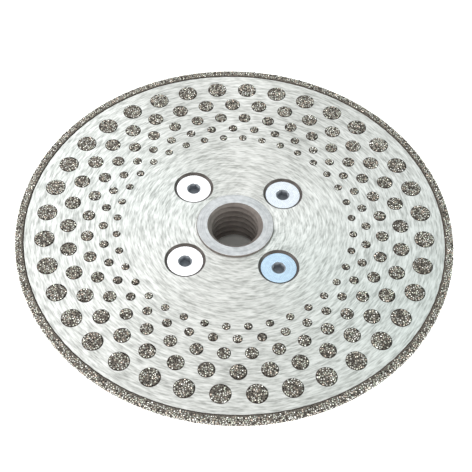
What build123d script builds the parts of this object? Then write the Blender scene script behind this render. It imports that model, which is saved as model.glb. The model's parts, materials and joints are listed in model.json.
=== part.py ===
from build123d import *
import math
import os

# A diamond grinding wheel for an angle grinder. A thin steel core is plated with diamond grit, in
# dots on both faces and in a band round the rim. Four countersunk screws hold it to a flanged hub,
# whose thread takes the machine's spindle.
#
# Millimetres. +Z runs along the axis of rotation, from the machine towards the wheel's front face.
# The origin is the centre of the hub's seat, the ring that stops against the spindle's shoulder.

# Steel core
WHEEL_DIAMETER = 125.0  # over the plated rim
CORE_THICKNESS = 1.4
CORE_BORE_DIAMETER = 22.23  # the usual 7/8 inch arbor hole

# Diamond plating: one layer of grit in a nickel bond
PLATING_THICKNESS = 0.4
PLATING_BEVEL = 0.12  # along every free edge of the plating
RIM_BAND_WIDTH = 2.7  # on each face, measured in from the rim
RIM_TO_DOTS = 2.8  # bare steel between the rim band and the outermost dots
FLANGE_TO_DOTS = 7.5  # from the hub flange's edge out to the innermost dots
DOTS_PER_RING = 36
# Each ring's dot diameter from the innermost ring outwards, and the land between two rings, as
# shares of the plated zone. The shares add up to the zone's width, so one share is 1 mm as drawn.
DOT_SHARES = (2.4, 2.8, 3.8, 4.8, 5.9)
LAND_SHARE = 1.2

# Hub
THREAD_MINOR_DIAMETER = 13.5  # 5/8-11 UNC, modelled as the plain hole it is tapped from
THREAD_MOUTH_DIAMETER = 16.0  # where the lead-in chamfer meets the hub's end faces
SPIGOT_CLEARANCE = 0.05  # radial, between the hub's spigot and the core's bore
SPIGOT_RISE = 0.65  # how far the spigot stands proud of the core
SPIGOT_BEVEL = 0.15
FLANGE_THICKNESS = 5.5
FLANGE_LAND = 0.8  # flange left outside the countersinks
COLLAR_HEIGHT = 7.5  # behind the flange
WRENCH_SIZE = 24.0  # across the collar's two flats
WRENCH_FLAT_DEPTH = 2.0  # from the collar's round surface down to a flat
WRENCH_FLAT_HEIGHT = 5.5
COLLAR_FILLET = 0.8  # where the collar meets the flange
HUB_BEVEL = 0.4

# Countersunk screws with a hexagon socket
SCREW_COUNT = 4
FIRST_SCREW_ANGLE = 45.0  # degrees from +X
SCREW_DIAMETER = 5.0
SCREW_LENGTH = 6.0  # overall, head included
SCREW_HEAD_DIAMETER = 10.0
SCREW_HEAD_EDGE = 0.2  # straight land round the head
SCREW_HEAD_RECESS = 0.6  # the head's top below the core's front face
SCREW_HALF_ANGLE = 45.0  # degrees, between the axis and the head's cone
SCREW_END_BEVEL = 0.5
SCREW_CLEARANCE = 0.05  # radial, between a screw's shank and its hole
SCREW_WEB = 1.6  # steel left between the core's bore and a countersink
SOCKET_SIZE = 3.0  # across flats
SOCKET_DEPTH = 2.0
SOCKET_MOUTH_DIAMETER = 4.0

# How far a cutting tool runs past the face that it opens
OVERRUN = 1.0

# Heights along the axis
core_back = COLLAR_HEIGHT + FLANGE_THICKNESS
core_front = core_back + CORE_THICKNESS
hub_front = core_front + SPIGOT_RISE
screw_top = core_front - SCREW_HEAD_RECESS

# Radii
wheel_radius = WHEEL_DIAMETER / 2
core_radius = wheel_radius - PLATING_THICKNESS
core_bore_radius = CORE_BORE_DIAMETER / 2
rim_band_radius = wheel_radius - RIM_BAND_WIDTH
spigot_radius = core_bore_radius - SPIGOT_CLEARANCE
collar_radius = WRENCH_SIZE / 2 + WRENCH_FLAT_DEPTH
screw_radius = SCREW_DIAMETER / 2
screw_hole_radius = screw_radius + SCREW_CLEARANCE
head_radius = SCREW_HEAD_DIAMETER / 2
cone_slope = math.tan(math.radians(SCREW_HALF_ANGLE))
countersink_radius = head_radius + (SCREW_HEAD_RECESS + SCREW_HEAD_EDGE) * cone_slope
screw_circle_radius = core_bore_radius + SCREW_WEB + countersink_radius
flange_radius = screw_circle_radius + countersink_radius + FLANGE_LAND

# The zone of dots runs from outside the flange to inside the rim band
dots_inner_radius = flange_radius + FLANGE_TO_DOTS
dots_outer_radius = rim_band_radius - RIM_TO_DOTS
all_shares = sum(DOT_SHARES) + LAND_SHARE * (len(DOT_SHARES) - 1)
share = (dots_outer_radius - dots_inner_radius) / all_shares


def turned(points):
    """A solid of revolution about Z, from its half section as (radius, height) points."""
    outline = Polyline(*points, close=True)
    return revolve(Plane.XZ * make_face(outline), Axis.Z)


def around(radius, count, first_angle):
    """Places evenly spaced round the axis, each turned to face outwards."""
    step = 360 / count
    return [Rot(Z=first_angle + n * step) * Pos(X=radius) for n in range(count)]


def screw_places():
    """The four screws' axes."""
    return around(screw_circle_radius, SCREW_COUNT, FIRST_SCREW_ANGLE)


def screw_seat():
    """What a drill and a countersink take out for one screw, through the core and the flange."""
    cone_bottom = core_front - (countersink_radius - screw_hole_radius) / cone_slope
    opening = countersink_radius + OVERRUN * cone_slope
    return turned(
        [
            (0, COLLAR_HEIGHT - OVERRUN),
            (screw_hole_radius, COLLAR_HEIGHT - OVERRUN),
            (screw_hole_radius, cone_bottom),
            (opening, core_front + OVERRUN),
            (0, core_front + OVERRUN),
        ]
    )


def with_screw_seats(body):
    """The body with its screw holes cut."""
    for place in screw_places():
        body -= place * screw_seat()
    return body


def steel_core():
    """The flat disc that everything is plated on and screwed to."""
    disc = turned(
        [
            (core_bore_radius, core_back),
            (core_radius, core_back),
            (core_radius, core_front),
            (core_bore_radius, core_front),
        ]
    )
    return with_screw_seats(disc)


def rim_plating():
    """The plated band, wrapped round the rim from one face to the other."""
    front = core_front + PLATING_THICKNESS
    back = core_back - PLATING_THICKNESS
    return turned(
        [
            (rim_band_radius, core_front),
            (rim_band_radius + PLATING_BEVEL, front),
            (wheel_radius - PLATING_BEVEL, front),
            (wheel_radius, front - PLATING_BEVEL),
            (wheel_radius, back + PLATING_BEVEL),
            (wheel_radius - PLATING_BEVEL, back),
            (rim_band_radius + PLATING_BEVEL, back),
            (rim_band_radius, core_back),
            (core_radius, core_back),
            (core_radius, core_front),
        ]
    )


def dot_rings():
    """Each ring's radius, dot radius and first angle, from the innermost ring outwards."""
    rings = []
    inner_edge = dots_inner_radius
    for number, dot_share in enumerate(DOT_SHARES):
        dot_radius = dot_share * share / 2
        stagger = (number % 2) * 180 / DOTS_PER_RING
        rings.append((inner_edge + dot_radius, dot_radius, stagger))
        inner_edge += (dot_share + LAND_SHARE) * share
    return rings


def plated_dots(ring_radius, dot_radius, first_angle, side):
    """One ring of plated dots, as separate solids. The side is +1 at the front, -1 at the back."""
    dot = turned(
        [
            (0, 0),
            (dot_radius, 0),
            (dot_radius - PLATING_BEVEL, side * PLATING_THICKNESS),
            (0, side * PLATING_THICKNESS),
        ]
    )
    face = Pos(Z=core_front if side > 0 else core_back)
    return [face * place * dot for place in around(ring_radius, DOTS_PER_RING, first_angle)]


def hub_blank():
    """The hub as it leaves the lathe: collar, flange and spigot, with the thread's plain hole."""
    mouth_radius = THREAD_MOUTH_DIAMETER / 2
    minor_radius = THREAD_MINOR_DIAMETER / 2
    lead_in = mouth_radius - minor_radius
    root_start = (collar_radius, COLLAR_HEIGHT - COLLAR_FILLET)
    root_end = (collar_radius + COLLAR_FILLET, COLLAR_HEIGHT)
    collar = Polyline(
        (minor_radius, lead_in),
        (mouth_radius, 0),
        (collar_radius - HUB_BEVEL, 0),
        (collar_radius, HUB_BEVEL),
        root_start,
    )
    collar_root = RadiusArc(root_start, root_end, COLLAR_FILLET)
    flange_and_spigot = Polyline(
        root_end,
        (flange_radius - HUB_BEVEL, COLLAR_HEIGHT),
        (flange_radius, COLLAR_HEIGHT + HUB_BEVEL),
        (flange_radius, core_back - HUB_BEVEL),
        (flange_radius - HUB_BEVEL, core_back),
        (spigot_radius, core_back),
        (spigot_radius, hub_front - SPIGOT_BEVEL),
        (spigot_radius - SPIGOT_BEVEL, hub_front),
        (mouth_radius, hub_front),
        (minor_radius, hub_front - lead_in),
        (minor_radius, lead_in),
    )
    outline = collar + collar_root + flange_and_spigot
    return revolve(Plane.XZ * make_face(outline), Axis.Z)


def wrench_slot():
    """What a cutter takes off one side of the collar, on the +X side."""
    reach = WRENCH_FLAT_DEPTH + OVERRUN
    width = 2 * (collar_radius + OVERRUN)
    height = WRENCH_FLAT_HEIGHT + OVERRUN
    edges = (Align.MIN, Align.CENTER, Align.MIN)
    return Pos(X=WRENCH_SIZE / 2, Z=-OVERRUN) * Box(reach, width, height, align=edges)


def hub_flange():
    """The flanged hub, with its two wrench flats and its screw holes."""
    hub = with_screw_seats(hub_blank())
    for angle in (0, 180):
        hub -= Rot(Z=angle) * wrench_slot()
    return hub


def flange_screw():
    """One countersunk screw on the Z axis, at its height in the wheel."""
    cone_top = screw_top - SCREW_HEAD_EDGE
    cone_bottom = cone_top - (head_radius - screw_radius) / cone_slope
    end = screw_top - SCREW_LENGTH
    body = turned(
        [
            (0, screw_top),
            (head_radius, screw_top),
            (head_radius, cone_top),
            (screw_radius, cone_bottom),
            (screw_radius, end + SCREW_END_BEVEL),
            (screw_radius - SCREW_END_BEVEL, end),
            (0, end),
        ]
    )
    return body - hexagon_socket()


def hexagon_socket():
    """The space for a hexagon key, with a round lead-in at its mouth and a drilled point below."""
    hexagon = RegularPolygon(SOCKET_SIZE / 2, 6, major_radius=False)
    socket = Pos(Z=screw_top - SOCKET_DEPTH) * extrude(hexagon, SOCKET_DEPTH + OVERRUN)
    mouth_radius = SOCKET_MOUTH_DIAMETER / 2
    lead_in = turned(
        [
            (0, screw_top - mouth_radius),
            (mouth_radius + OVERRUN, screw_top + OVERRUN),
            (0, screw_top + OVERRUN),
        ]
    )
    return socket + lead_in


def all_nodes():
    """Every sub-part by name, each as a list of its solids."""
    nodes = {
        "steel_core": [steel_core()],
        "rim_plating": [rim_plating()],
        "hub_flange": [hub_flange()],
    }
    for number, (ring_radius, dot_radius, first_angle) in enumerate(dot_rings(), start=1):
        for name, side in (("front", 1), ("back", -1)):
            dots = plated_dots(ring_radius, dot_radius, first_angle, side)
            nodes[f"{name}_dots_ring_{number}"] = dots
    screw = flange_screw()
    for number, place in enumerate(screw_places(), start=1):
        nodes[f"flange_screw_{number}"] = [place * screw]
    return nodes


os.makedirs("parts", exist_ok=True)
for node_name, solids in all_nodes().items():
    node = Compound(children=solids) if len(solids) > 1 else solids[0]
    node.label = node_name
    export_step(node, f"parts/{node_name}.step")
    print(node_name, "solids", len(solids), "volume", round(node.volume, 2))
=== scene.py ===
# %% [markdown]
# # A diamond grinding wheel
#
# The real wheel is a thin steel disc with diamond grit held on it by electroplated nickel: dots
# on both faces and a band round the rim. Four screws hold the disc to a threaded hub. The fixed
# frame below is the engineer's model, in metres. Every visible piece is built round it, and
# nothing in it is moved or resized.

# %% Load the fixed frame
import json
import math

import bmesh
import bpy
import numpy as np
from mathutils import Matrix, Vector

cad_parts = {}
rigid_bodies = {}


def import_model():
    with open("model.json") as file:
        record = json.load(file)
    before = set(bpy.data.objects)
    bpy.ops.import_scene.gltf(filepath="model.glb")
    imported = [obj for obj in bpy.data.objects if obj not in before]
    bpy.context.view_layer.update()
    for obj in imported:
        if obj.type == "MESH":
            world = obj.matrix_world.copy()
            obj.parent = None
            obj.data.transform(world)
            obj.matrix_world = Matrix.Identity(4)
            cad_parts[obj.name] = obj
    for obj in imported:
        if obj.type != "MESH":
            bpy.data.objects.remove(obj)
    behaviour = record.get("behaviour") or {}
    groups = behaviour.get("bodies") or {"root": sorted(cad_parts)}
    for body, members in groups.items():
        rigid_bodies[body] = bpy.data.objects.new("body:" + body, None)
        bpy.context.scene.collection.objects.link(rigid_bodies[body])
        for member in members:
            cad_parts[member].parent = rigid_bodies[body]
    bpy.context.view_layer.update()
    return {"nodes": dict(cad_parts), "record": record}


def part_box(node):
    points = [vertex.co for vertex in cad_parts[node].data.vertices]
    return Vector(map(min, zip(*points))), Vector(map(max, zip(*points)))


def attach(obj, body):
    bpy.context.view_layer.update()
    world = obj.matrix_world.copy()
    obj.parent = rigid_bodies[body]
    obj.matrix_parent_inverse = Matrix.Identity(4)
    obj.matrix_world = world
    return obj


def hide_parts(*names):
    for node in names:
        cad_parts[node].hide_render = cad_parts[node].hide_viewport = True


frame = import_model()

MM = 0.001

# %% [markdown]
# ## Sizes
#
# A maker measures before cutting. All sizes come from the frame: the core's two faces, the rim,
# and for each ring of dots its radius, the dots' radius, their number and the first dot's angle.
# A ring of round dots reaches from its radius less one dot radius to its radius plus one, so the
# nearest and the farthest vertex give both.

# %% Measure the frame
core_low, core_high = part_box("steel_core")
hub_low, hub_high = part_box("hub_flange")
core_back, core_front = core_low.z, core_high.z
core_radius = core_high.x
rings = range(1, 6)
SAME_POINT = 0.001 * MM  # loose triangles' corners nearer than this are one vertex


def vertices_of(node):
    """A CAD node's vertices as rows of x, y, z."""
    return np.array([v.co for v in frame["nodes"][node].data.vertices])


def dots_in(node):
    """How many dots a ring has: each is a separate patch of linked vertices."""
    shape = bmesh.new()
    shape.from_mesh(frame["nodes"][node].data)
    bmesh.ops.remove_doubles(shape, verts=shape.verts, dist=SAME_POINT)
    seen, count = set(), 0
    for start in shape.verts:
        if start in seen:
            continue
        count += 1
        waiting = [start]
        while waiting:
            vertex = waiting.pop()
            if vertex not in seen:
                seen.add(vertex)
                waiting += [edge.other_vert(vertex) for edge in vertex.link_edges]
    shape.free()
    return count


def measure_ring(node):
    """A ring of dots: its radius, the dots' radius, the first dot's angle and their number."""
    points = vertices_of(node)
    reach = np.hypot(points[:, 0], points[:, 1])
    x, y, _ = points[reach.argmax()]
    dots = dots_in(node)
    first_angle = math.atan2(y, x) % (math.tau / dots)
    return (reach.max() + reach.min()) / 2, (reach.max() - reach.min()) / 2, first_angle, dots


dot_rings = {number: measure_ring(f"front_dots_ring_{number}") for number in rings}
for number, (ring_radius, dot_radius, first_angle, count) in dot_rings.items():
    print("ring %d: radius %.2f mm, %d dots %.2f mm across, first at %.1f degrees" % (
        number, ring_radius / MM, count, 2 * dot_radius / MM, math.degrees(first_angle)))

# %% [markdown]
# ## Camera and softboxes
#
# A flat metal disc is a mirror with a grain: how it looks is mostly what it reflects. So the
# studio comes first. The camera looks down at about 53 degrees. Three softboxes behind the wheel
# brighten single fans of the disc. The other three, low at both sides and near the camera, light
# the grit: its facets face every way, while the flat steel mirrors hardly any of them into the lens.

# %% Camera
VIEW_ELEVATION = math.radians(52.8)
VIEW_AZIMUTH = math.radians(-88.0)
VIEW_ROLL = math.radians(2.5)
VIEW_DISTANCE = 305.3 * MM
LENS_MM = 81.4  # on a 36 mm sensor
FRAMING_SHIFT = (0.0018, -0.0215)  # shares of the sensor's width
NEAREST_SEEN, FARTHEST_SEEN = 0.01, 20  # metres

camera_data = bpy.data.cameras.new("studio_camera")
camera_data.lens = LENS_MM
camera_data.shift_x, camera_data.shift_y = FRAMING_SHIFT
camera_data.clip_start, camera_data.clip_end = NEAREST_SEEN, FARTHEST_SEEN
camera = bpy.data.objects.new("studio_camera", camera_data)
bpy.context.collection.objects.link(camera)
bpy.context.scene.camera = camera


def towards(azimuth, elevation):
    """The unit vector that points at an azimuth and elevation."""
    flat = math.cos(elevation)
    return Vector((flat * math.cos(azimuth), flat * math.sin(azimuth), math.sin(elevation)))


def aim(thing, place, target, roll=0.0):
    """Puts a camera or lamp at a place, looking at a target."""
    turn = (target - place).to_track_quat("-Z", "Y").to_matrix().to_4x4()
    thing.matrix_world = Matrix.Translation(place) @ turn @ Matrix.Rotation(roll, 4, "Z")


face_centre = Vector((0, 0, core_front))
view_from = face_centre + VIEW_DISTANCE * towards(VIEW_AZIMUTH, VIEW_ELEVATION)
aim(camera, view_from, face_centre, VIEW_ROLL)
print("camera at, mm:", [round(c / MM, 1) for c in view_from])

# %% Softboxes
LAMP_DISTANCE = 0.9  # metres from the face's centre


def softbox(name, azimuth, elevation, size, strength, distance=LAMP_DISTANCE):
    """A white rectangular lamp that faces the wheel. Its strength is its radiance, whatever its size."""
    data = bpy.data.lights.new(name, "AREA")
    data.shape = "RECTANGLE"
    data.size, data.size_y = size
    data.energy = strength * size[0] * size[1] * math.pi
    lamp = bpy.data.objects.new(name, data)
    bpy.context.collection.objects.link(lamp)
    place = face_centre + distance * towards(math.radians(azimuth), math.radians(elevation))
    aim(lamp, place, face_centre)
    print("%s: azimuth %d, elevation %d degrees, %.2f m away" % (name, azimuth, elevation, distance))


softbox("back_softbox", 92, 53, size=(0.34, 0.30), strength=0.35)
softbox("low_back_softbox", 92, 26, size=(0.16, 0.44), strength=1.4, distance=1.0)
softbox("left_softbox", 119, 43, size=(0.4, 0.6), strength=0.95)
softbox("fill_softbox", -102, 42, size=(0.35, 0.35), strength=2.4)
for side, azimuth, strength in (("left", 197, 3.6), ("right", -17, 3.5)):
    softbox(f"low_{side}_softbox", azimuth, 17, size=(0.45, 0.35), strength=strength)

# %% [markdown]
# ## A small kit for shader and geometry trees
#
# Both kinds of tree are nodes and links. One helper adds a node and fills its inputs, each with
# a plain value or with another node's output, so that a tree reads from top to bottom.

# %% Node helper
def add(tree, kind, inputs=None, **settings):
    """Adds a node; each input is a value, or an output socket to link from."""
    node = tree.nodes.new(kind)
    for name, value in settings.items():
        setattr(node, name, value)
    for key, value in (inputs or {}).items():
        if isinstance(value, bpy.types.NodeSocket):
            tree.links.new(value, node.inputs[key])
        else:
            node.inputs[key].default_value = value
    return node


def math_node(tree, operation, *values):
    """A Math node's output, from one to three values or sockets."""
    return add(tree, "ShaderNodeMath", dict(enumerate(values)), operation=operation).outputs[0]


# %% Materials and colours
def new_material(name, **sockets):
    """A material with its plain values set on the shader's own sockets."""
    material = bpy.data.materials.new(name)
    material.use_nodes = True
    shader = material.node_tree.nodes["Principled BSDF"]
    for socket, value in sockets.items():
        shader.inputs[socket.replace("_", " ")].default_value = value
    return material, material.node_tree, shader


def ramp(tree, factor, stops):
    """A Color Ramp's colour, from stops of (position, grey or colour)."""
    node = add(tree, "ShaderNodeValToRGB", {"Fac": factor})
    elements = node.color_ramp.elements
    while len(elements) < len(stops):
        elements.new(0.5)  # its true position is set below
    for element, (position, colour) in zip(elements, stops):
        element.position = position
        if isinstance(colour, (int, float)):
            colour = (colour, colour, colour)
        element.color = (*colour, 1)
    return node.outputs["Color"]


def mixed(tree, factor, first, second, blend="MIX"):
    """Two colours mixed by a factor. A Mix node's sockets 6 and 7 take colours, and 2 gives one."""
    node = add(tree, "ShaderNodeMix", {"Factor": factor}, data_type="RGBA", blend_type=blend)
    for socket, value in ((node.inputs[6], first), (node.inputs[7], second)):
        if isinstance(value, bpy.types.NodeSocket):
            tree.links.new(value, socket)
        else:
            socket.default_value = (*value, 1)
    return node.outputs[2]


# %% Places and patterns
def object_place(tree):
    """The place on the wheel, in metres, in the wheel's own frame."""
    return add(tree, "ShaderNodeTexCoord").outputs["Object"]


def noise(tree, per_metre, detail=2.0):
    """A noise pattern in the wheel's own frame, with that many features in each metre."""
    inputs = {"Vector": object_place(tree), "Scale": per_metre, "Detail": detail}
    return add(tree, "ShaderNodeTexNoise", inputs).outputs["Fac"]


def across_axis(tree, place):
    """A place's part across the Z axis, as a vector, and its distance from that axis."""
    flat = add(tree, "ShaderNodeVectorMath", {0: place, 1: (1, 1, 0)}, operation="MULTIPLY").outputs[0]
    return flat, add(tree, "ShaderNodeVectorMath", {0: flat}, operation="LENGTH").outputs["Value"]


# %% [markdown]
# ## The room
#
# The room gives the flat faces their tone. It is a plain background painted by direction, which
# costs no lamps and has no edges. Its far half is what the steel mirrors into the lens: bright on
# the left, and dimmer and greener on the right. Its near half mostly lights the grit, and the
# middle of it, behind the camera, is dimmer, so the grit's facets differ.

# %% Paint the room by direction
BEHIND_CAMERA = towards(math.radians(-90), math.radians(38))
ROOM_STRENGTH = 1.5
NEAR_HALF_TONE = (0.90, 0.90, 0.835)

world = bpy.data.worlds.new("studio_room")
world.use_nodes = True
bpy.context.scene.world = world
bpy.context.scene.view_settings.view_transform = "Standard"

room = world.node_tree
outwards = add(room, "ShaderNodeTexCoord").outputs["Generated"]


def share_towards(direction):
    """From 0, opposite a direction, to 1, right in it."""
    cosine = add(room, "ShaderNodeVectorMath", {0: outwards, 1: direction}, operation="DOT_PRODUCT")
    return math_node(room, "MULTIPLY_ADD", cosine.outputs["Value"], 0.5, 0.5)


depth_tone = ramp(room, share_towards(BEHIND_CAMERA), [(0.66, 1.0), (0.83, 0.68), (0.94, 0.42)])
side_tone = ramp(room, share_towards((1, 0, 0)), [
    (0.03, (1.0, 1.0, 1.0)), (0.5, (0.58, 0.58, 0.57)),
    (0.72, (0.38, 0.48, 0.465)), (0.97, (0.24, 0.43, 0.41))])
upness = add(room, "ShaderNodeSeparateXYZ", {0: outwards}).outputs["Z"]
height_tone = ramp(room, upness, [(0.64, 0.68), (0.84, 1.0)])
far_tone = mixed(room, 1.0, height_tone, side_tone, "MULTIPLY")
in_near_half = ramp(room, share_towards((0, 1, 0)), [(0.40, 1.0), (0.52, 0.0)])
wall_tone = mixed(room, in_near_half, far_tone, NEAR_HALF_TONE)
room_colour = mixed(room, 1.0, depth_tone, wall_tone, "MULTIPLY")
backdrop = room.nodes["Background"]
room.links.new(room_colour, backdrop.inputs["Color"])
backdrop.inputs["Strength"].default_value = ROOM_STRENGTH
print("room:", len(room.nodes), "nodes")

# %% [markdown]
# ## The floor
#
# The wheel stands on a light table: a white sheet that glows a little, so that it throws light up
# at the wheel's edges. Under the hub it stays dark, or it would shine up through the bore.

# %% Lay the floor
FLOOR_SIZE = 4.0  # metres
FLOOR_GLOW = 0.62
DARK_UNDER_HUB = 0.5  # share of the hub's radius
CLOUDS_PER_METRE = 9.0

floor_paint, floor_tree, floor_shader = new_material("pale_floor", Roughness=0.7)
floor_tone = ramp(floor_tree, noise(floor_tree, CLOUDS_PER_METRE), [(0, 0.93), (1, 0.96)])
floor_tree.links.new(floor_tone, floor_shader.inputs["Base Color"])
floor_shader.inputs["Emission Color"].default_value = (1, 1, 1, 1)
_, from_hub = across_axis(floor_tree, object_place(floor_tree))
under_open_air = math_node(floor_tree, "GREATER_THAN", from_hub, DARK_UNDER_HUB * hub_high.x)
glow = math_node(floor_tree, "MULTIPLY", under_open_air, FLOOR_GLOW)
floor_tree.links.new(glow, floor_shader.inputs["Emission Strength"])

half = FLOOR_SIZE / 2
floor_mesh = bpy.data.meshes.new("floor")
floor_mesh.from_pydata([(-half, -half, 0), (half, -half, 0), (half, half, 0), (-half, half, 0)],
                       [], [(0, 1, 2, 3)])
floor_mesh.materials.append(floor_paint)
floor = bpy.data.objects.new("floor", floor_mesh)
bpy.context.collection.objects.link(floor)
print("floor: %.0f m square" % FLOOR_SIZE)

# %% [markdown]
# ## Marks that run round the axis
#
# Grinding and turning leave fine scratches round the axis. In a shader, a noise pattern becomes
# scratches when its coordinates are stretched: here one coordinate is the distance from the axis,
# finely divided, and the other two are the place on the face, coarsely divided. The place has no
# seam, as an angle would, and it keeps the scratches equally long at every radius.

# %% Polar marks
def marks(tree, width, length, detail, offset=(0, 0, 0), distortion=0.0):
    """Noise drawn out round the Z axis: scratches of about that width and length, in metres.
    The axis can be offset, for crossing arcs."""
    moved = add(tree, "ShaderNodeVectorMath", {0: object_place(tree), 1: offset},
                operation="SUBTRACT").outputs[0]
    flat, reach = across_axis(tree, moved)
    arcs = add(tree, "ShaderNodeVectorMath", {0: flat, "Scale": 1 / length}, operation="SCALE")
    across = add(tree, "ShaderNodeCombineXYZ", {"Z": math_node(tree, "MULTIPLY", reach, 1 / width)})
    stretched = add(tree, "ShaderNodeVectorMath", {0: arcs.outputs[0], 1: across.outputs[0]},
                    operation="ADD").outputs[0]
    return add(tree, "ShaderNodeTexNoise", {
        "Vector": stretched, "Scale": 1.0, "Detail": detail, "Distortion": distortion}).outputs["Fac"]


QUARTER_TURN = 0.25  # the shader counts its rotation in whole turns


def radial_grain(tree, shader, amount):
    """Stretches highlights outwards from the Z axis, as scratches round it do."""
    shader.inputs["Anisotropic"].default_value = amount
    shader.inputs["Anisotropic Rotation"].default_value = QUARTER_TURN
    tangent = add(tree, "ShaderNodeTangent", direction_type="RADIAL", axis="Z")
    tree.links.new(tangent.outputs["Tangent"], shader.inputs["Tangent"])

# %% [markdown]
# ## Ground steel
#
# The core is surface-ground on a turning table, so its scratches are short arcs round the axis,
# with some fainter arcs that cross them. Three layers of marks change the tone, the roughness and
# the bump together. The highlights are stretched outwards, which gives the bright and dim fans
# that a ground disc shows. The drilled and countersunk walls aren't ground, and they are painted
# dark and less metallic: painted shade of the narrow gaps round the screws' heads.

# %% Helpers for a finish
def bump(tree, shader, *layers):
    """Stacks bump layers of (height socket, strength, depth in metres) on a shader."""
    normal = None
    for height, strength, depth in layers:
        inputs = {"Height": height, "Strength": strength, "Distance": depth}
        if normal is not None:
            inputs["Normal"] = normal
        normal = add(tree, "ShaderNodeBump", inputs).outputs["Normal"]
    tree.links.new(normal, shader.inputs["Normal"])


def weighted(tree, share, first, second):
    """Two values added: a share of the first and the rest of the second."""
    return math_node(tree, "ADD", math_node(tree, "MULTIPLY", first, share),
                     math_node(tree, "MULTIPLY", second, 1 - share))


def height_of(tree):
    """The height in the wheel's frame."""
    return add(tree, "ShaderNodeSeparateXYZ", {0: object_place(tree)}).outputs["Z"]


def between(tree, value, low, high):
    """1 where a value lies between two limits, else 0."""
    middle, reach = (low + high) / 2, (high - low) / 2
    return math_node(tree, "COMPARE", value, middle, reach)


# %% Ground steel
SKIN = 0.03 * MM  # a cut wall starts this far below its face
SHADED_PART_METALLIC = 0.3  # a part painted dark as shade is mostly not metallic, so it mirrors little light
GRIND_GRAIN = 0.85  # how far the scratches stretch a highlight; 1 is the most
FINE_SHARE = 0.62  # of the marks round the axis; the rest are broad
ROUND_SHARE = 0.8  # of all marks; the rest cross them
CROSSING_CENTRE = (9 * MM, 7 * MM, 0)  # off the axis, so these arcs cross the others
SHADED_CUT_TONE = (0.105, 0.09, 0.085)  # painted shade on a drilled or countersunk wall

ground_steel, tree, shader = new_material("ground_steel", Metallic=1.0)
fine = marks(tree, 0.42 * MM, 2.6 * MM, detail=4.0)
broad = marks(tree, 1.0 * MM, 4.5 * MM, detail=3.0, distortion=0.2)
crossing = marks(tree, 0.5 * MM, 3 * MM, detail=3.0, offset=CROSSING_CENTRE)
streaks = weighted(tree, ROUND_SHARE, weighted(tree, FINE_SHARE, fine, broad), crossing)
steel_tone = ramp(tree, streaks, [(0.37, (0.47, 0.478, 0.462)), (0.5, (0.745, 0.758, 0.738)),
                                  (0.61, (0.92, 0.93, 0.915))])
# The walls between the core's faces get painted shade: a dark tone and less metal.
in_a_shaded_cut = between(tree, height_of(tree), core_back + SKIN, core_front - SKIN)
tree.links.new(mixed(tree, in_a_shaded_cut, steel_tone, SHADED_CUT_TONE), shader.inputs["Base Color"])
bareness = math_node(tree, "MULTIPLY_ADD", in_a_shaded_cut, SHADED_PART_METALLIC - 1, 1.0)
tree.links.new(bareness, shader.inputs["Metallic"])
tree.links.new(ramp(tree, streaks, [(0.35, 0.46), (0.65, 0.34)]), shader.inputs["Roughness"])
bump(tree, shader, (fine, 0.35, 0.012 * MM), (crossing, 0.15, 0.012 * MM), (broad, 0.2, 0.03 * MM))
radial_grain(tree, shader, GRIND_GRAIN)
print("ground steel:", len(tree.nodes), "nodes")

# %% [markdown]
# ## Zinc plate on the hub and the screws
#
# Both are turned on a lathe and zinc-plated, which leaves a pale blue-white metal with faint
# rings. Each screw was turned about its own axis, so it has its own material, in which the rings'
# centre is moved onto that screw. One part of each material is painted dark and rough as shade:
# the hub's bore, its spigot's wall where it meets the core, and the screws' sockets.

# %% Zinc plate
# The parts painted dark as shade are also rough, so they mirror little light.
SHADED_PART_ROUGHNESS = 0.62
MOTTLE_PER_METRE = 700.0
RING_SHARE = 0.5  # of a plate's marks; the rest are mottle
RING_SHADE = 0.7  # the share of its tone that a part painted dark as shade keeps in a mark


def zinc(name, ring_offset, pale, tinted, roughness, shade_part, shade_tone):
    """Turned and zinc-plated steel, with its rings round a given centre and one part painted dark as
    shade.
    """
    material, tree, shader = new_material(name, Metallic=1.0, Anisotropic=0.3)
    rings_fine = marks(tree, 0.4 * MM, 8 * MM, detail=3.0, offset=ring_offset)
    mottle = noise(tree, MOTTLE_PER_METRE, detail=4.0)
    both = weighted(tree, RING_SHARE, rings_fine, mottle)
    plate = ramp(tree, both, [(0.36, tinted), (0.6, pale)])
    shaded_part_tone = ramp(tree, both, [(0.36, [RING_SHADE * part for part in shade_tone]), (0.6, shade_tone)])
    in_painted_shade = shade_part(tree)
    tree.links.new(mixed(tree, in_painted_shade, plate, shaded_part_tone), shader.inputs["Base Color"])
    bareness = math_node(tree, "MULTIPLY_ADD", in_painted_shade, SHADED_PART_METALLIC - 1, 1.0)
    tree.links.new(bareness, shader.inputs["Metallic"])
    plate_roughness = ramp(tree, both, [(0.35, roughness + 0.08), (0.65, roughness - 0.05)])
    tree.links.new(mixed(tree, in_painted_shade, plate_roughness, (SHADED_PART_ROUGHNESS,) * 3),
                   shader.inputs["Roughness"])
    bump(tree, shader, (rings_fine, 0.25, 0.01 * MM), (mottle, 0.15, 0.02 * MM))
    return material


# %% The parts painted dark as shade
MOUTH_RADIUS = 7.97 * MM  # just outside the thread
SOCKET_REACH = 3 * MM  # deeper than the sockets


def bore_and_joint_shade(tree):
    """1 in the hub's threaded bore and on its spigot's wall, which are painted dark as shade."""
    _, reach = across_axis(tree, object_place(tree))
    in_the_bore = math_node(tree, "LESS_THAN", reach, MOUTH_RADIUS)
    on_the_wall = between(tree, height_of(tree), core_front - SKIN, hub_high.z - SKIN)
    return math_node(tree, "MAXIMUM", in_the_bore, on_the_wall)


def socket_shade(tree):
    """1 just below the screws' tops, on their sockets' walls and on the hidden cones, which are painted
    dark as shade.
    """
    head_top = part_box("flange_screw_1")[1].z
    return between(tree, height_of(tree), head_top - SOCKET_REACH, head_top - SKIN)


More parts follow.
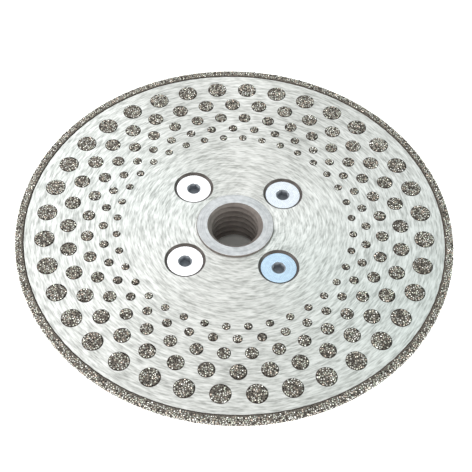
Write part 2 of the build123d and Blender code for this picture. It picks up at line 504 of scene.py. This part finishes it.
# The hub's bore and its spigot's wall are painted dark: painted shade in the hole and at the joint with
# the core.
hub_zinc = zinc("hub_zinc", (0, 0, 0), pale=(0.69, 0.705, 0.725), tinted=(0.50, 0.515, 0.535),
                roughness=0.42, shade_part=bore_and_joint_shade, shade_tone=(0.26, 0.225, 0.21))
print("made:", hub_zinc.name)

# %% [markdown]
# ## Nickel bond and diamond grit
#
# Electroplated nickel holds the grit over more than half its height. The bond is dark and rough
# between the grains. The grains are small hard crystals: pale, greyish or pinkish, and some dark
# where the light goes through to the bond. Every grain gets one random number when it is placed,
# and the shader turns that number into its colour.

# %% Bond and grit
BED_HEIGHT = 0.15 * MM  # bond above the steel; the grit stands out of it to the plating's height
LUMPS_PER_METRE = 2600.0
FLAWS_PER_METRE = 5000.0
CLOUDING = 0.3  # how far a grain's flaws dull it

nickel_bond, tree, shader = new_material("nickel_bond", Metallic=0.7, Roughness=0.45)
lumps = noise(tree, LUMPS_PER_METRE, detail=3.0)
# A bed's sloping edge is painted darker than its top: painted shade that outlines each dot.
shaded_slope_tone = ramp(tree, lumps, [(0.3, (0.025, 0.02, 0.016)), (0.7, (0.09, 0.07, 0.06))])
top_tone = ramp(tree, lumps, [(0.3, (0.05, 0.042, 0.036)), (0.7, (0.26, 0.23, 0.20))])
on_shaded_slope = between(tree, height_of(tree), core_back - BED_HEIGHT + SKIN, core_front + BED_HEIGHT - SKIN)
tree.links.new(mixed(tree, on_shaded_slope, top_tone, shaded_slope_tone), shader.inputs["Base Color"])
bump(tree, shader, (lumps, 0.8, 0.08 * MM))

diamond_grit, tree, shader = new_material("diamond_grit", Metallic=0.75, Roughness=0.22, IOR=2.0)
grain_number = add(tree, "ShaderNodeAttribute", attribute_name="grain_tone").outputs["Fac"]
grain_colour = ramp(tree, grain_number, [
    (0.0, (0.004, 0.004, 0.003)), (0.29, (0.012, 0.01, 0.008)), (0.33, (0.85, 0.69, 0.59)),
    (0.42, (1.0, 0.88, 0.78)), (0.58, (0.95, 1.0, 0.86)), (0.75, (1.0, 0.98, 0.93)),
    (1.0, (1.0, 1.0, 0.99))])
flaws = noise(tree, FLAWS_PER_METRE)
cloudy = mixed(tree, CLOUDING, grain_colour, ramp(tree, flaws, [(0.3, 0.4), (0.6, 1.0)]), "MULTIPLY")
tree.links.new(cloudy, shader.inputs["Base Color"])
bump(tree, shader, (flaws, 0.3, 0.02 * MM))
print("made:", nickel_bond.name, "and", diamond_grit.name)

# %% [markdown]
# ## The steel core and the screws
#
# These two have their full shape in the frame: flat faces, countersinks, hexagon sockets. They
# only need their finish, so each keeps its own mesh and gets a material in its slot. The screws on
# the right are painted bluer, the front one most: a painted reflection of the room's greener right side.

# %% Finish the frame's own nodes
def finish_node(node, material):
    """Gives a CAD node's every slot a material."""
    for material_slot in frame["nodes"][node].material_slots:
        material_slot.material = material


def blended(first, second, share):
    """A plain colour between two others."""
    return tuple(a + (b - a) * share for a, b in zip(first, second))


WHITE_PLATE, WHITE_RINGS = (0.97, 0.97, 0.98), (0.90, 0.90, 0.94)
REFLECTED_BLUE_PLATE, REFLECTED_BLUE_RINGS = (0.55, 0.73, 0.88), (0.48, 0.64, 0.82)
NO_REFLECTED_BLUE, SOME_REFLECTED_BLUE, FULL_REFLECTED_BLUE = 0.0, 0.35, 1.0

finish_node("steel_core", ground_steel)
screw_nodes = sorted(name for name in frame["nodes"] if name.startswith("flange_screw"))
for node in screw_nodes:
    low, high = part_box(node)
    middle = (low + high) / 2
    # Painted reflection: screws on the right are bluer, most of all at the front right.
    right_side_reflected_blue = FULL_REFLECTED_BLUE if middle.y < 0 else SOME_REFLECTED_BLUE
    reflected_blueness = right_side_reflected_blue if middle.x > 0 else NO_REFLECTED_BLUE
    pale = blended(WHITE_PLATE, REFLECTED_BLUE_PLATE, reflected_blueness)
    tinted = blended(WHITE_RINGS, REFLECTED_BLUE_RINGS, reflected_blueness)
    ring_centre = (middle.x, middle.y, 0)
    # Each screw's socket is painted dark: painted shade in the hollow.
    finish_node(node, zinc(f"zinc_{node}", ring_centre, pale, tinted, roughness=0.22,
                           shade_part=socket_shade, shade_tone=(0.30, 0.325, 0.37)))
print("finished:", ["steel_core", *screw_nodes])

# %% [markdown]
# ## Geometry trees
#
# The wheel has 360 plated dots and nearly sixteen thousand grains, and a rule places every one. A
# geometry tree is that rule. Each tree has named inputs for its sizes and a seed for its chance.
# It is run once for each piece, and its result is kept as a plain mesh, so nothing stays live.

# %% Tree helpers
def new_tree(name, inputs):
    """A geometry tree with named inputs, given as {name: kind}, and those inputs' sockets."""
    tree = bpy.data.node_groups.new(name, "GeometryNodeTree")
    tree.interface.new_socket("Geometry", in_out="OUTPUT", socket_type="NodeSocketGeometry")
    for socket, kind in inputs.items():
        tree.interface.new_socket(socket, in_out="INPUT", socket_type="NodeSocket" + kind)
    given = tree.nodes.new("NodeGroupInput").outputs
    return tree, {socket: given[socket] for socket in inputs}


def end_tree(tree, geometry, material):
    """Makes the instances real, gives them their material and ends the tree."""
    real = add(tree, "GeometryNodeRealizeInstances", {0: geometry}).outputs[0]
    finished = add(tree, "GeometryNodeSetMaterial", {"Geometry": real, "Material": material})
    add(tree, "NodeGroupOutput", {0: finished.outputs[0]})


def grown(name, tree, values, mesh=None):
    """Runs a tree once, on a mesh or on nothing, and keeps the result as a plain mesh object."""
    piece = bpy.data.objects.new(name, mesh or bpy.data.meshes.new(name))
    bpy.context.collection.objects.link(piece)
    modifier = piece.modifiers.new(name, "NODES")
    modifier.node_group = tree
    for item in tree.interface.items_tree:
        if item.in_out == "INPUT" and item.name in values:
            modifier[item.identifier] = values[item.name]
    evaluated = piece.evaluated_get(bpy.context.evaluated_depsgraph_get())
    plain = bpy.data.meshes.new_from_object(evaluated)
    piece.modifiers.remove(modifier)
    piece.data = plain
    plain.name = name
    return piece


def random_value(tree, kind, low, high, seed):
    """A Random Value node's output, for kind FLOAT, FLOAT_VECTOR or INT."""
    first = {"FLOAT_VECTOR": 0, "FLOAT": 2, "INT": 4}[kind]
    node = add(tree, "FunctionNodeRandomValue", {first: low, first + 1: high, "Seed": seed},
               data_type=kind)
    return node.outputs[first // 2]


# %% [markdown]
# ## Beds of nickel bond
#
# On the real wheel a mask leaves round windows open, and nickel grows in them. Each dot's bed is
# a low disc with a sloping edge that isn't quite round. One tree makes a ring of them: a circle of
# points, a low cone on each, and a little noise on the outline. The top face is marked as the
# place that carries grit.

# %% The tree for a ring of beds
BED_SIDES = 36
BED_SLOPE = 0.42 * MM  # width of a bed's sloping edge
BED_SINK = 0.02 * MM  # each bed starts just under the steel's face
OUTLINE_NOISE = 0.07 * MM
BULGES_PER_METRE = 1600.0

bed_tree, given = new_tree("ring_of_beds", {
    "Dots": "Int", "Ring radius": "Float", "First angle": "Float", "Dot radius": "Float",
    "Slope": "Float", "Height": "Float", "Sink": "Float", "Face height": "Float",
    "Turned over": "Float", "Outline noise": "Float", "Seed": "Int", "Bond": "Material"})
ring_points = add(bed_tree, "GeometryNodeMeshCircle", {
    "Vertices": given["Dots"], "Radius": given["Ring radius"]})
bed = add(bed_tree, "GeometryNodeMeshCone", {
    "Vertices": BED_SIDES, "Radius Bottom": given["Dot radius"],
    "Radius Top": math_node(bed_tree, "SUBTRACT", given["Dot radius"], given["Slope"]),
    "Depth": math_node(bed_tree, "ADD", given["Height"], given["Sink"])})
marked = add(bed_tree, "GeometryNodeStoreNamedAttribute", {
    "Geometry": bed.outputs["Mesh"], "Name": "grit_zone", "Value": bed.outputs["Top"]},
    data_type="INT", domain="FACE")
placed = add(bed_tree, "GeometryNodeInstanceOnPoints", {
    "Points": ring_points.outputs["Mesh"], "Instance": marked.outputs["Geometry"]})
real_beds = add(bed_tree, "GeometryNodeRealizeInstances", {0: placed.outputs["Instances"]})
ring_turn = add(bed_tree, "ShaderNodeCombineXYZ", {"Z": given["First angle"]})
sunk = add(bed_tree, "ShaderNodeCombineXYZ", {"Z": math_node(bed_tree, "MULTIPLY", given["Sink"], -1)})
in_ring = add(bed_tree, "GeometryNodeTransform", {
    "Geometry": real_beds.outputs[0], "Rotation": ring_turn.outputs[0],
    "Translation": sunk.outputs[0]})
chance = add(bed_tree, "ShaderNodeTexNoise", {"W": given["Seed"], "Scale": BULGES_PER_METRE},
             noise_dimensions="4D")
# The noise runs from 0 to 1, so it is centred, doubled to reach 1 each way, and kept level
centred = add(bed_tree, "ShaderNodeVectorMath", {0: chance.outputs["Color"], 1: (0.5, 0.5, 0.5)},
              operation="SUBTRACT")
sideways = add(bed_tree, "ShaderNodeVectorMath", {0: centred.outputs[0], 1: (2, 2, 0)},
               operation="MULTIPLY")
shifted = add(bed_tree, "ShaderNodeVectorMath", {
    0: sideways.outputs[0], "Scale": given["Outline noise"]}, operation="SCALE")
uneven = add(bed_tree, "GeometryNodeSetPosition", {
    "Geometry": in_ring.outputs[0], "Offset": shifted.outputs[0]})
over = add(bed_tree, "ShaderNodeCombineXYZ", {"X": given["Turned over"]})
up_to_face = add(bed_tree, "ShaderNodeCombineXYZ", {"Z": given["Face height"]})
on_face = add(bed_tree, "GeometryNodeTransform", {
    "Geometry": uneven.outputs[0], "Rotation": over.outputs[0],
    "Translation": up_to_face.outputs[0]})
end_tree(bed_tree, on_face.outputs[0], given["Bond"])
print("ring_of_beds:", len(bed_tree.nodes), "nodes")

# %% Grow the beds
pieces = []


def keep(piece, slot, *nodes):
    """Rides a finished piece on the wheel's one body and hides the frame's nodes that it stands for."""
    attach(piece, "root")
    if nodes:
        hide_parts(*nodes)
    pieces.append(piece)


BED_SEED_STEP = 10  # from one ring's seed to the next
faces = {"front": (core_front, 0.0), "back": (core_back, math.pi)}
beds = {}
for side, (face_height, turned_over) in faces.items():
    for number in rings:
        ring_radius, dot_radius, first_angle, count = dot_rings[number]
        name = f"{side}_bond_ring_{number}"
        beds[side, number] = grown(name, bed_tree, {
            "Dots": count, "Ring radius": ring_radius, "First angle": first_angle,
            "Dot radius": dot_radius, "Slope": BED_SLOPE, "Height": BED_HEIGHT, "Sink": BED_SINK,
            "Face height": face_height, "Turned over": turned_over,
            "Outline noise": OUTLINE_NOISE, "Bond": nickel_bond,
            "Seed": BED_SEED_STEP * number + len(side)})
    print(side, "beds:", sum(len(beds[side, n].data.polygons) for n in rings), "faces")

# %% [markdown]
# ## The plated rim
#
# The band of bond wraps round the disc's edge, from one face to the other. Its section is a thin
# U, turned round the axis. The mesh is written directly: a ring of section points at each angle,
# joined to the next. The inner edges wander a little, as the end of a plated layer does.

# %% Turn a section into a ring
WAVES = 12  # sine waves added up to make an edge wander
WAVE_COUNTS = (20, 160)  # the fewest and most of one wave round the rim
SMALLEST_WAVE = 0.3  # the largest is 1
WAVE_SHARE = 0.25  # of the wander for each wave, because they seldom peak together


def turned_ring(name, section, steps, wander, seed):
    """A closed ring from section points of (radius, height, grit zone, wanders)."""
    rng = np.random.default_rng(seed)
    waves = [(rng.integers(*WAVE_COUNTS), rng.uniform(0, math.tau), rng.uniform(SMALLEST_WAVE, 1))
             for _ in range(WAVES)]
    vertices, polygons, zones = [], [], []
    count = len(section)
    for step in range(steps):
        angle = math.tau * step / steps
        sway = wander * WAVE_SHARE * sum(size * math.sin(n * angle + lag) for n, lag, size in waves)
        for radius, height, _, loose in section:
            at = radius + (sway if loose else 0)
            vertices.append((at * math.cos(angle), at * math.sin(angle), height))
        this, following = step * count, (step + 1) % steps * count
        for n in range(count):
            m = (n + 1) % count
            polygons.append((this + n, this + m, following + m, following + n))
            zones.append(section[n][2])
    mesh = bpy.data.meshes.new(name)
    mesh.from_pydata(vertices, [], polygons)
    mesh.attributes.new("grit_zone", "INT", "FACE").data.foreach_set("value", zones)
    mesh.validate()
    return mesh


# %% Make the rim's bond
RIM_STEPS = 512
RIM_WANDER = 0.05 * MM
RIM_SEED = 7
RIM_CORNER = 0.12 * MM

rim_points = vertices_of("rim_plating")
band_radius = np.hypot(rim_points[:, 0], rim_points[:, 1]).min()
rim_outside = core_radius + BED_HEIGHT
front_top, back_top = core_front + BED_HEIGHT, core_back - BED_HEIGHT
rim_section = [  # radius, height, grit zone of the stretch from here on, whether it wanders
    (band_radius, core_front, 0, True),
    (band_radius + BED_SLOPE, front_top, 1, True),
    (rim_outside - RIM_CORNER, front_top, 2, False),
    (rim_outside, front_top - RIM_CORNER, 2, False),
    (rim_outside, back_top + RIM_CORNER, 2, False),
    (rim_outside - RIM_CORNER, back_top, 3, False),
    (band_radius + BED_SLOPE, back_top, 0, True),
    (band_radius, core_back, 0, True),
    (core_radius, core_back, 0, False),
    (core_radius, core_front, 0, False)]
rim_mesh = turned_ring("rim_bond", rim_section, RIM_STEPS, RIM_WANDER, RIM_SEED)
rim_mesh.materials.append(nickel_bond)
rim_bond = bpy.data.objects.new("rim_bond", rim_mesh)
bpy.context.collection.objects.link(rim_bond)
print("rim band from %.2f to %.2f mm" % (band_radius / MM, rim_outside / MM))

# %% [markdown]
# ## Crystals
#
# Diamond grit is crushed or grown as blocky crystals with flat facets. A few shapes are enough if
# each grain is turned and sized by chance. Each shape starts from the twelve corners of a
# cuboctahedron, pulled in by different amounts, and its convex hull gives twenty flat facets.

# %% Make the crystal shapes
CRYSTAL_SHAPES = 5
CRYSTAL_SEED = 11
FLATTEST = 0.84  # the least share of its full size along an axis
BLUNTEST = 0.86  # the least share of its full reach at a corner


def crystal(number, rng):
    """One blocky crystal that fits in a unit sphere."""
    corners = [Vector(c) for a in (-1, 1) for b in (-1, 1) for c in ((a, b, 0), (a, 0, b), (0, a, b))]
    stretch = Vector(rng.uniform(FLATTEST, 1.0, 3))
    shape = bmesh.new()
    for place in corners:
        point = place.normalized() * rng.uniform(BLUNTEST, 1.0)
        shape.verts.new([a * b for a, b in zip(point, stretch)])
    hull = bmesh.ops.convex_hull(shape, input=shape.verts)
    bmesh.ops.delete(shape, geom=hull["geom_interior"] + hull["geom_unused"], context="VERTS")
    bmesh.ops.recalc_face_normals(shape, faces=shape.faces)
    mesh = bpy.data.meshes.new(f"crystal_{number}")
    shape.to_mesh(mesh)
    shape.free()
    return bpy.data.objects.new(mesh.name, mesh)


crystal_chance = np.random.default_rng(CRYSTAL_SEED)
crystals = bpy.data.collections.new("crystals")
for number in range(CRYSTAL_SHAPES):
    crystals.objects.link(crystal(number, crystal_chance))

# %% [markdown]
# ## Grit
#
# In the plating bath the grains settle one deep and touch each other. Points spread over the
# marked faces no nearer than a set distance, and a crystal goes on each. A grain's middle lies a
# little under the bond's surface, so the nickel grips it and rather less than half stands out.
# Each grain gets its own random number for its colour.

# %% The tree for grit
GRAIN_RADIUS = 0.30 * MM
GRAIN_SPREAD = 0.12  # a grain may be this share smaller or larger
GRAIN_SPACING = 0.48 * MM
GRAIN_SINK = 0.10 * MM  # how far a grain's middle lies below the bond's surface
MOST_GRAINS = 40 / MM**2  # points tried for each square metre before the spacing thins them

grit_tree, given = new_tree("grit_on_bond", {
    "Bed": "Geometry", "Zone": "Int", "Spacing": "Float", "Sink": "Float", "Grain radius": "Float",
    "Spread": "Float", "Crystals": "Collection", "Lowest tone": "Float", "Seed": "Int",
    "Grit": "Material"})
zone = add(grit_tree, "GeometryNodeInputNamedAttribute", {"Name": "grit_zone"}, data_type="INT")
in_zone = add(grit_tree, "FunctionNodeCompare", {2: zone.outputs[0], 3: given["Zone"]},
              data_type="INT", operation="EQUAL")
scattered = add(grit_tree, "GeometryNodeDistributePointsOnFaces", {
    "Mesh": given["Bed"], "Selection": in_zone.outputs[0], "Distance Min": given["Spacing"],
    "Density Max": MOST_GRAINS, "Density Factor": 1.0, "Seed": given["Seed"]},
    distribute_method="POISSON")
shapes = add(grit_tree, "GeometryNodeCollectionInfo", {
    "Collection": given["Crystals"], "Separate Children": True, "Reset Children": True})
turns = random_value(grit_tree, "FLOAT_VECTOR", (0, 0, 0), (math.tau,) * 3, given["Seed"])
smallest = math_node(grit_tree, "SUBTRACT", 1.0, given["Spread"])
largest = math_node(grit_tree, "ADD", 1.0, given["Spread"])
scale = math_node(grit_tree, "MULTIPLY", given["Grain radius"],
                  random_value(grit_tree, "FLOAT", smallest, largest, given["Seed"]))
which = random_value(grit_tree, "INT", 0, CRYSTAL_SHAPES - 1, given["Seed"])
inwards = add(grit_tree, "ShaderNodeVectorMath", {
    0: scattered.outputs["Normal"], "Scale": math_node(grit_tree, "MULTIPLY", given["Sink"], -1.0)},
    operation="SCALE")
embedded = add(grit_tree, "GeometryNodeSetPosition", {
    "Geometry": scattered.outputs["Points"], "Offset": inwards.outputs[0]})
grains = add(grit_tree, "GeometryNodeInstanceOnPoints", {
    "Points": embedded.outputs[0], "Instance": shapes.outputs[0], "Pick Instance": True,
    "Instance Index": which, "Rotation": turns, "Scale": scale})
tone_seed = math_node(grit_tree, "ADD", given["Seed"], 1.0)
toned = add(grit_tree, "GeometryNodeStoreNamedAttribute", {
    "Geometry": grains.outputs[0], "Name": "grain_tone",
    "Value": random_value(grit_tree, "FLOAT", given["Lowest tone"], 1.0, tone_seed)},
    data_type="FLOAT", domain="INSTANCE")
end_tree(grit_tree, toned.outputs[0], given["Grit"])


def grow_grit(name, bed, zone, seed, lowest_tone=0.0):
    """Scatters one seeded layer of grains over a bed's marked faces."""
    grit = grown(name, grit_tree, {
        "Zone": zone, "Spacing": GRAIN_SPACING, "Sink": GRAIN_SINK, "Grain radius": GRAIN_RADIUS,
        "Spread": GRAIN_SPREAD, "Crystals": crystals, "Lowest tone": lowest_tone, "Seed": seed,
        "Grit": diamond_grit},
        mesh=bed.data)
    print(name, "triangles:", len(grit.data.polygons))
    return grit


# %% Grow the grit
DOT_ZONE = 1  # the top of a dot's bed
RIM_ZONES = {1: "rim_grit_front", 2: "rim_grit_edge", 3: "rim_grit_back"}
GRIT_SEED_STEP = 100  # from one ring's seed to the next
RIM_GRIT_SEED = 900
RIM_LOWEST_TONE = 0.18  # the rim's grit has fewer dark grains than the dots', so its band is lighter

for side in faces:
    for number in rings:
        bed = beds[side, number]
        grit = grow_grit(f"{side}_grit_ring_{number}", bed, DOT_ZONE,
                         GRIT_SEED_STEP * number + len(side))
        keep(bed, "diamond_plating", f"{side}_dots_ring_{number}")
        keep(grit, "diamond_plating")
for zone, name in RIM_ZONES.items():
    grit = grow_grit(name, rim_bond, zone, RIM_GRIT_SEED + zone, RIM_LOWEST_TONE)
    keep(grit, "diamond_plating")
keep(rim_bond, "diamond_plating", "rim_plating")

# %% [markdown]
# ## The hub's thread
#
# The frame's hub has a plain hole where the real one is tapped. A tap is a toothed screw that
# cuts its own shape out of the hole, and the same is done here: a solid screw is built, and a
# Boolean takes it out of a copy of the hub. The screw is a helical sheet of section points with
# a cap at each end.

# %% Build the tap
THREAD_PITCH = 25.4 / 11 * MM  # eleven threads to the inch
THREAD_OUTSIDE = 15.875 / 2 * MM  # the radius of a thread five eighths of an inch across
TAP_STEPS = 120
OVERRUN = 2  # turns of the tap past each end of the hub
TAP_CLEARANCE = 0.02 * MM  # the tap's core is this much thinner than the hole
# Where the section turns within one pitch, and whether it is at the thread's root
THREAD_SECTION = ((0.0, False), (0.25, False), (0.5625, True), (0.6875, True))

hub_mount = next(m for m in frame["record"]["mounts"] if m["name"] == "spindle_thread")
thread_inside = hub_mount["dims"]["r_mm"] * MM
tap_inside = thread_inside - TAP_CLEARANCE
low_end = hub_low.z - OVERRUN * THREAD_PITCH
turns_cut = math.ceil((hub_high.z - low_end) / THREAD_PITCH) + OVERRUN
rows = turns_cut * len(THREAD_SECTION)


def tap_mesh():
    """A closed screw, longer than the hub, that leaves the thread when it is cut away."""
    shape = bmesh.new()
    grid = []
    for step in range(TAP_STEPS):
        angle = math.tau * step / TAP_STEPS
        column = []
        for row in range(rows):
            turn, corner_number = divmod(row, len(THREAD_SECTION))
            share, at_root = THREAD_SECTION[corner_number]
            radius = THREAD_OUTSIDE if at_root else tap_inside
            height = low_end + THREAD_PITCH * (turn + share + step / TAP_STEPS)
            column.append(shape.verts.new((radius * math.cos(angle), radius * math.sin(angle), height)))
        grid.append(column)
    lift = len(THREAD_SECTION)
    for step in range(TAP_STEPS):
        here, following = grid[step], grid[(step + 1) % TAP_STEPS]
        raised = lift if step == TAP_STEPS - 1 else 0
        for row in range(rows - 1):
            if row + 1 + raised < rows:
                shape.faces.new((here[row], following[row + raised],
                                 following[row + 1 + raised], here[row + 1]))
    bottom = [column[0] for column in grid] + grid[0][lift:0:-1]
    top = [column[-1] for column in grid] + grid[-1][-2:-lift - 2:-1]
    for rim, height in ((bottom, low_end - THREAD_PITCH),
                        (top, low_end + THREAD_PITCH * (turns_cut + OVERRUN))):
        centre = shape.verts.new((0, 0, height))
        for first, second in zip(rim, rim[1:] + rim[:1]):
            shape.faces.new((first, second, centre))
    bmesh.ops.recalc_face_normals(shape, faces=shape.faces)
    open_edges = sum(not edge.is_manifold for edge in shape.edges)
    print("tap: %d faces, %d open edges" % (len(shape.faces), open_edges))
    mesh = bpy.data.meshes.new("tap")
    shape.to_mesh(mesh)
    shape.free()
    return mesh


# %% Cut the thread
hub_shape = bmesh.new()
hub_shape.from_mesh(frame["nodes"]["hub_flange"].data)
bmesh.ops.remove_doubles(hub_shape, verts=hub_shape.verts, dist=SAME_POINT)
print("hub copy: %d open edges" % sum(not edge.is_manifold for edge in hub_shape.edges))
hub_mesh = bpy.data.meshes.new("threaded_hub")
hub_shape.to_mesh(hub_mesh)
hub_shape.free()
hub = bpy.data.objects.new("threaded_hub", hub_mesh)
tap = bpy.data.objects.new("tap", tap_mesh())
for thing in (hub, tap):
    bpy.context.collection.objects.link(thing)
cut = hub.modifiers.new("thread", "BOOLEAN")
cut.operation, cut.solver, cut.object = "DIFFERENCE", "EXACT", tap
evaluated = hub.evaluated_get(bpy.context.evaluated_depsgraph_get())
threaded = bpy.data.meshes.new_from_object(evaluated)
hub.modifiers.remove(cut)
hub.data = threaded
bpy.data.objects.remove(tap)
print("after the cut:", len(threaded.polygons), "faces")

# %% Finish the hub
SHARP_ANGLE = math.radians(28)
SLIVER = 0.005 * MM  # the Boolean leaves a few edges shorter than this, which are merged away


def clean_and_shade(mesh):
    """Merges slivers and smooths faces, with every edge that turns past the sharp angle kept crisp."""
    shape = bmesh.new()
    shape.from_mesh(mesh)
    bmesh.ops.remove_doubles(shape, verts=shape.verts, dist=SLIVER)
    for face in shape.faces:
        face.smooth = True
    for edge in shape.edges:
        edge.smooth = edge.is_manifold and edge.calc_face_angle(0) < SHARP_ANGLE
    shape.to_mesh(mesh)
    shape.free()


clean_and_shade(hub.data)
hub.data.materials.clear()
hub.data.materials.append(hub_zinc)
keep(hub, "hub_steel", "hub_flange")
print("threaded hub:", len(hub.data.polygons), "faces")

# %% [markdown]
# ## Clear the bench
#
# The crystals were only patterns, so they go.

# %% Clear up and finish
for shape in list(crystals.objects):
    bpy.data.objects.remove(shape)
bpy.data.collections.remove(crystals)
print("pieces:", len(pieces), "triangles:", sum(len(p.data.polygons) for p in pieces))
